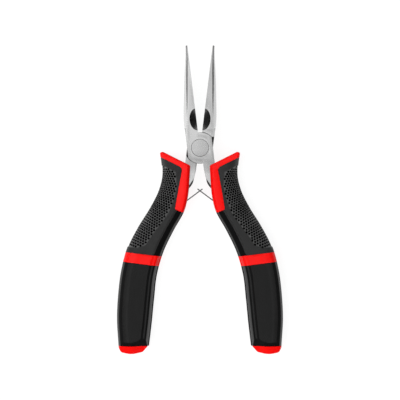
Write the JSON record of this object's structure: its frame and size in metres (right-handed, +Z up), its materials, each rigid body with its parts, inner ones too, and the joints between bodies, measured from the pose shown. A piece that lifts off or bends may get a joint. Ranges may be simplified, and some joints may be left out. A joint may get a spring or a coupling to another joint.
{
  "type": "long nose pliers",
  "caption": "Small spring-opened long-nose pliers with flat gripping faces, a side cutter, a riveted lap joint and two-colour moulded grips with thumb guards.",
  "frame": {"origin": "centre of the footprint on the bench, at the underside of the grips, with the tool held open by its springs", "axes": "+Y towards the jaw tips, +Z up through the thickness along the pivot, +X to the right"},
  "size_m": [0.0714, 0.1326, 0.012],
  "materials": {
    "lever": "ground satin steel, dark where it is left as forged",
    "rivet": "ground flush",
    "leaf": "hardened spring strip",
    "liner": "glossy black",
    "guard": "satin red",
    "soft_grip": "matt dark grey, dimpled",
    "band": "satin red, blank",
    "lower_grip": "glossy black",
    "cap": "satin red"
  },
  "bodies": {
    "rear_half": {"rear_lever": "lever", "pivot_rivet": "rivet", "left_handle_core": "liner", "left_thumb_guard": "guard", "left_upper_grip": "soft_grip", "left_grip_band": "band", "left_lower_grip": "lower_grip", "left_end_cap": "cap", "left_leaf_foot": "leaf", "left_spring_rivet": "rivet"},
    "front_half": {"front_lever": "lever", "right_handle_core": "liner", "right_thumb_guard": "guard", "right_upper_grip": "soft_grip", "right_grip_band": "band", "right_lower_grip": "lower_grip", "right_end_cap": "cap", "right_leaf_foot": "leaf", "right_spring_rivet": "rivet"},
    "left_leaf": {"left_leaf_arm": "leaf"},
    "right_leaf": {"right_leaf_arm": "leaf"}
  },
  "joints": [
    {"name": "pivot", "type": "hinge", "parent": "rear_half", "child": "front_half", "pos_m": [0, 0.02226, 0.006], "axis": [0, 0, 1], "range_deg": [-14, 4], "stiffness_Nm_per_rad": 0.8},
    {"name": "left_leaf_bend", "type": "hinge", "parent": "rear_half", "child": "left_leaf", "pos_m": [-0.00681, -0.00123, 0.006], "axis": [0, 0, 1], "range_deg": [-6, 19.5]},
    {"name": "right_leaf_bend", "type": "hinge", "parent": "front_half", "child": "right_leaf", "pos_m": [0.00681, -0.00123, 0.006], "axis": [0, 0, 1], "range_deg": [-19.5, 6]}
  ],
  "couplings": [
    {"joint": "left_leaf_bend", "follows": "pivot", "ratio": -1.35},
    {"joint": "right_leaf_bend", "follows": "pivot", "ratio": 1.35}
  ]
}
